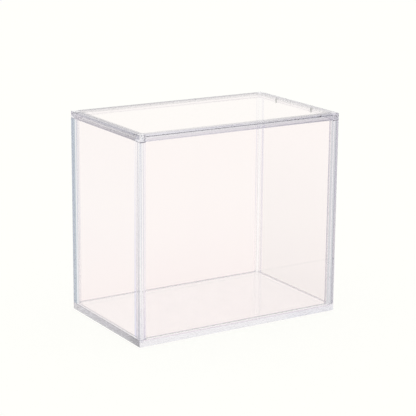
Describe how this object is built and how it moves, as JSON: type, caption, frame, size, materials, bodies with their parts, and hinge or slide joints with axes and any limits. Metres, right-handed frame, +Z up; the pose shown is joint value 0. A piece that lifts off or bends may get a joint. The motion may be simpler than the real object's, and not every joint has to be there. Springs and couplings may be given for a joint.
{
  "type": "clear lidded collection box",
  "caption": "Clear framed box with square posts, corner blocks, sheet walls, a thick base and a hinged lid held shut by a magnetic catch.",
  "frame": {"origin": "middle of the base slab's underside, on the surface that the box stands on", "axes": "+Z up, +X to the right along the long side, +Y to the back; the lid's hinge is at -X"},
  "size_m": [0.32, 0.196, 0.29],
  "materials": {
    "base_clear": "clear polished plastic slab",
    "frame_clear": "clear polished plastic bar",
    "sheet_clear": "clear plastic sheet with a faint warm tint",
    "pin_steel": "plain stainless pin",
    "magnet_metal": "nickel plated rod magnet",
    "keeper_steel": "plain steel disc"
  },
  "bodies": {
    "case": {"base_slab": "base_clear", "post_front_left": "frame_clear", "post_front_right": "frame_clear", "post_back_left": "frame_clear", "post_back_right": "frame_clear", "block_front_left": "frame_clear", "block_front_right": "frame_clear", "block_back_left": "frame_clear", "block_back_right": "frame_clear", "rail_front": "frame_clear", "rail_back": "frame_clear", "rail_left": "frame_clear", "rail_right": "frame_clear", "panel_front": "sheet_clear", "panel_back": "sheet_clear", "panel_left": "sheet_clear", "panel_right": "sheet_clear", "hinge_pins": "pin_steel", "rail_magnets": "magnet_metal"},
    "lid": {"lid": "sheet_clear", "lid_keepers": "keeper_steel"}
  },
  "joints": [
    {"name": "lid_hinge", "type": "hinge", "parent": "case", "child": "lid", "pos_m": [-0.155, 0, 0.28825], "axis": [0, -1, 0], "range_deg": [0, 95]}
  ]
}
